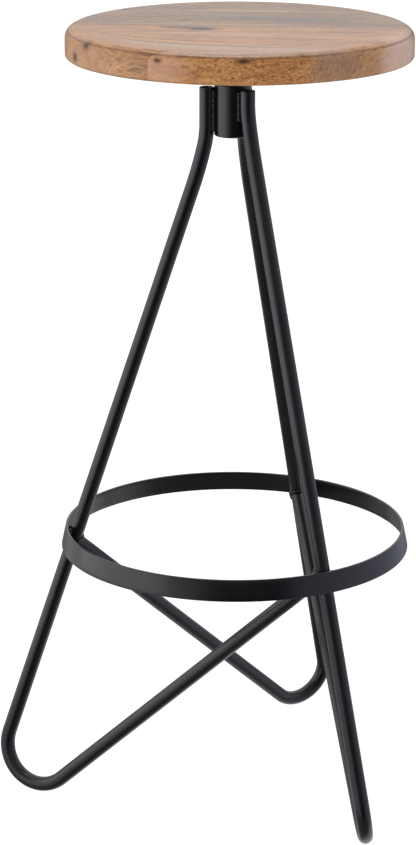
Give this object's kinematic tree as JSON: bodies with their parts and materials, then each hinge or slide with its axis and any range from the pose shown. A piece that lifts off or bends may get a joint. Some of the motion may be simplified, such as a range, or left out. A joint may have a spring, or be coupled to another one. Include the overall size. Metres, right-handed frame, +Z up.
{
  "type": "bar stool",
  "caption": "Round wooden swivel seat on a black hairpin tube frame with a ring footrest, for sitting at a bar or high counter.",
  "frame": {"origin": "on the seat's swivel axis at floor level", "axes": "+Z up along the swivel axis, -X towards the left leg"},
  "size_m": [0.4067, 0.4105, 0.765],
  "materials": {
    "black_powder_coat": "satin powder coat",
    "oiled_wood": "oiled, open grain",
    "bush_plastic": "moulded nylon",
    "bare_steel": "turned, lightly greased",
    "zinc_steel": "zinc plated",
    "spring_steel": "phosphated"
  },
  "bodies": {
    "frame": {"left_leg_tube": "black_powder_coat", "front_leg_tube": "black_powder_coat", "rear_leg_tube": "black_powder_coat", "footrest_ring": "black_powder_coat", "footrest_seam_weld": "black_powder_coat", "hub_collar": "black_powder_coat", "upper_bush": "bush_plastic", "lower_bush": "bush_plastic", "thrust_washer": "bush_plastic", "hub_welds": "black_powder_coat", "footrest_welds": "black_powder_coat", "brace_welds": "black_powder_coat"},
    "seat": {"swivel_spindle": "bare_steel", "retaining_washer": "zinc_steel", "retaining_clip": "spring_steel", "seat_plate": "black_powder_coat", "plate_weld": "black_powder_coat", "seat_screws": "zinc_steel", "seat_board_front": "oiled_wood", "seat_board_middle": "oiled_wood", "seat_board_rear": "oiled_wood"}
  },
  "joints": [
    {"name": "seat_swivel", "type": "hinge", "parent": "frame", "child": "seat", "pos_m": [0, 0, 0.7], "axis": [0, 0, 1], "continuous": true}
  ]
}
